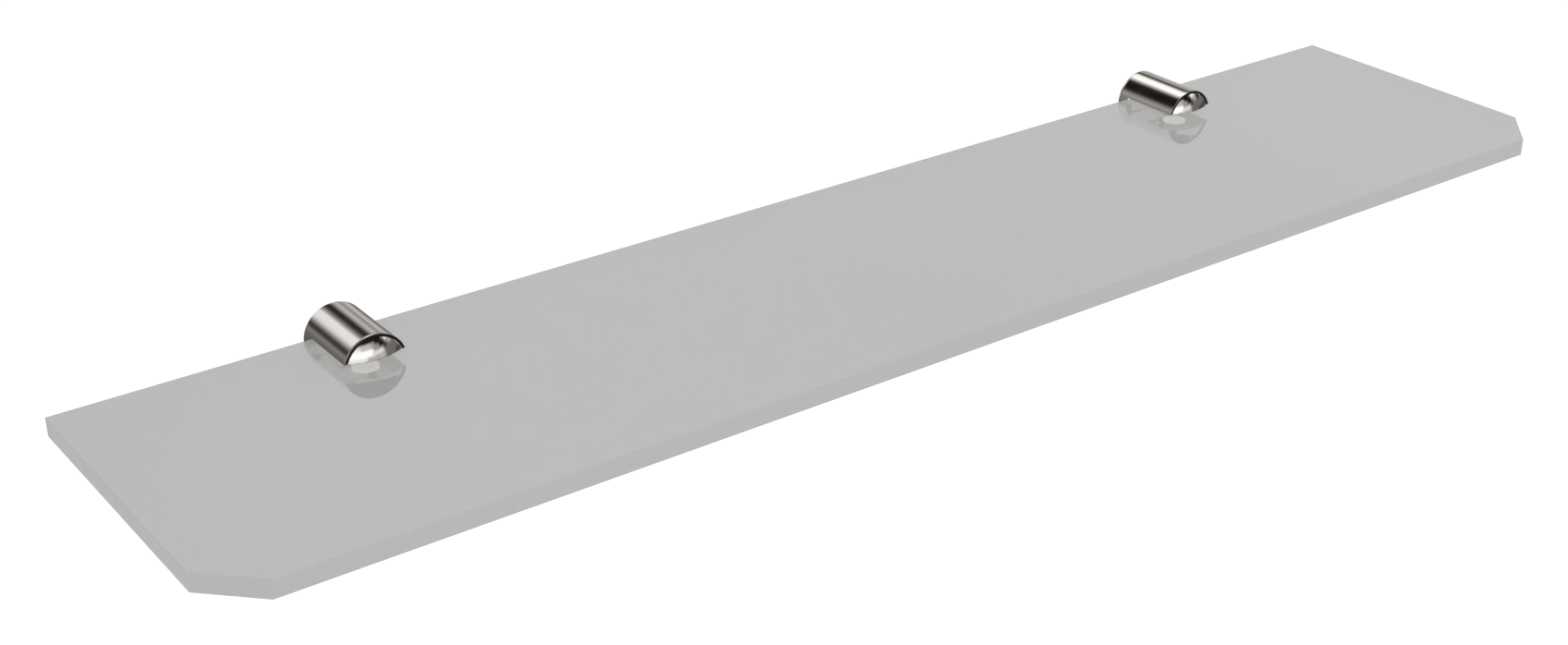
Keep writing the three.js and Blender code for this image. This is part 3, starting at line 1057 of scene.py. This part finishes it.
def screw_tree():
    lengths = ["Radius", "Length", "Pitch", "Key", "Point Length", "Point Radius", "Point Taper"]
    inputs = {name: "NodeSocketFloat" for name in lengths}
    inputs["Rows"] = "NodeSocketInt"
    inputs["Material"] = "NodeSocketMaterial"
    tree, given = new_tree("set_screw", inputs)
    radius, length, pitch = given["Radius"], given["Length"], given["Pitch"]

    sizes = {"Vertices": THREAD_SIDES, "Side Segments": given["Rows"], "Radius": radius, "Depth": length}
    rod = radius.node("GeometryNodeMeshCylinder", {"fill_type": "TRIANGLE_FAN"}, sizes)
    place = radius.node("GeometryNodeInputPosition")
    x, y, z = place.part(0), place.part(1), place.part(2)
    turns = z / pitch - radius.math("ARCTAN2", y, x) / math.tau
    from_crest = radius.math("ABSOLUTE", 2 * radius.math("FRACT", turns) - 1)
    slope = (from_crest - CREST_SHARE) / (1 - CREST_SHARE - ROOT_SHARE)
    dip = radius.math("MULTIPLY", slope, 1, clamp=True)
    thread = radius - THREAD_DEPTH_SHARE * pitch * dip

    to_low = z + length / 2
    to_high = length / 2 - z
    low_end = radius - END_CHAMFER_SHARE * THREAD_DEPTH_SHARE * pitch + to_low
    on_point = radius.math("LESS_THAN", to_high, given["Point Length"])
    point = given["Point Radius"] + to_high * given["Point Taper"]
    shaped = radius.math("MINIMUM", thread, low_end)
    shaped = shaped + on_point * (radius.math("MINIMUM", point, shaped) - shaped)
    scaled = radius.xyz(x * shaped / radius, y * shaped / radius, z)
    formed = radius.node("GeometryNodeSetPosition", {}, {"Geometry": rod, "Position": scaled})

    key = given["Key"]
    hexagon = {"Vertices": 6, "Radius": key / (2 * math.cos(math.pi / 6)), "Depth": 2 * key}
    prism = radius.node("GeometryNodeMeshCylinder", {}, hexagon)
    mouth = radius.xyz(0, 0, 0 - length / 2)
    lowered = radius.node("GeometryNodeTransform", {}, {"Geometry": prism, "Translation": mouth})
    wide = FLARE_SHARE * key
    cone = {"Vertices": THREAD_SIDES, "Radius Top": 0.0, "Radius Bottom": wide, "Depth": wide}
    flare = radius.node("GeometryNodeMeshCone", {}, cone)
    flared = radius.node("GeometryNodeTransform", {}, {"Geometry": flare, "Translation": mouth})
    settings = {"operation": "DIFFERENCE", "solver": "EXACT"}
    meshes = {"Mesh 1": formed, "Mesh 2": [lowered, flared]}
    keyed = radius.node("GeometryNodeMeshBoolean", settings, meshes)
    end_tree(tree, keyed, given["Material"])
    return tree


set_screw = screw_tree()
print("screw tree nodes:", len(set_screw.nodes))

# %% [markdown]
# The clamp screw has an M5 thread and a flat dog point that turns in the pad. The lock screw is
# M3 with a cone point. Rows of the cylinder are counted from the pitch, so that the thread's
# flanks are equally fine on both.

# %% Make the screws
CLAMP_SIZES = {"Pitch": 0.8, "Key": 2.5, "Point Length": 0.6, "Point Radius": 1.2}
LOCK_SIZES = {"Pitch": 0.5, "Key": 1.5, "Point Length": 1.12, "Point Radius": 0.3}
DOG_TAPER = 0.0
CONE_TAPER = 1.0


def screw(low, high, from_wall, thread, taper, steel):
    """A screw in the height from low to high, and its point's widening for each mm down."""
    length = high.z - low.z
    sizes = {"Radius": high.x + HALF_PITCH, "Length": length, **thread}
    values = {size: value * MM for size, value in sizes.items()}
    values["Point Taper"] = taper
    values["Rows"] = round(length / thread["Pitch"] * ROWS_PER_PITCH)
    values["Material"] = steel
    mesh = made_by(set_screw, bpy.data.meshes.new("screw"), values)
    middle = (0, -from_wall * MM, (low.z + high.z) / 2 * MM)
    mesh.transform(Matrix.Translation(middle))
    smooth_by_angle(mesh)
    return mesh


clamp_screw = screw(clamp_low, clamp_high, CLAMP_FROM_WALL, CLAMP_SIZES, DOG_TAPER, clamp_steel)
lock_screw = screw(lock_low, lock_high, LOCK_FROM_WALL, LOCK_SIZES, CONE_TAPER, lock_steel)
on_both_sides("dog_point_screw", clamp_screw, "_screw", "_clamp_screw", clamp_steel)
on_both_sides("cone_point_screw", lock_screw, "shelf", "_body_set_screw", lock_steel)
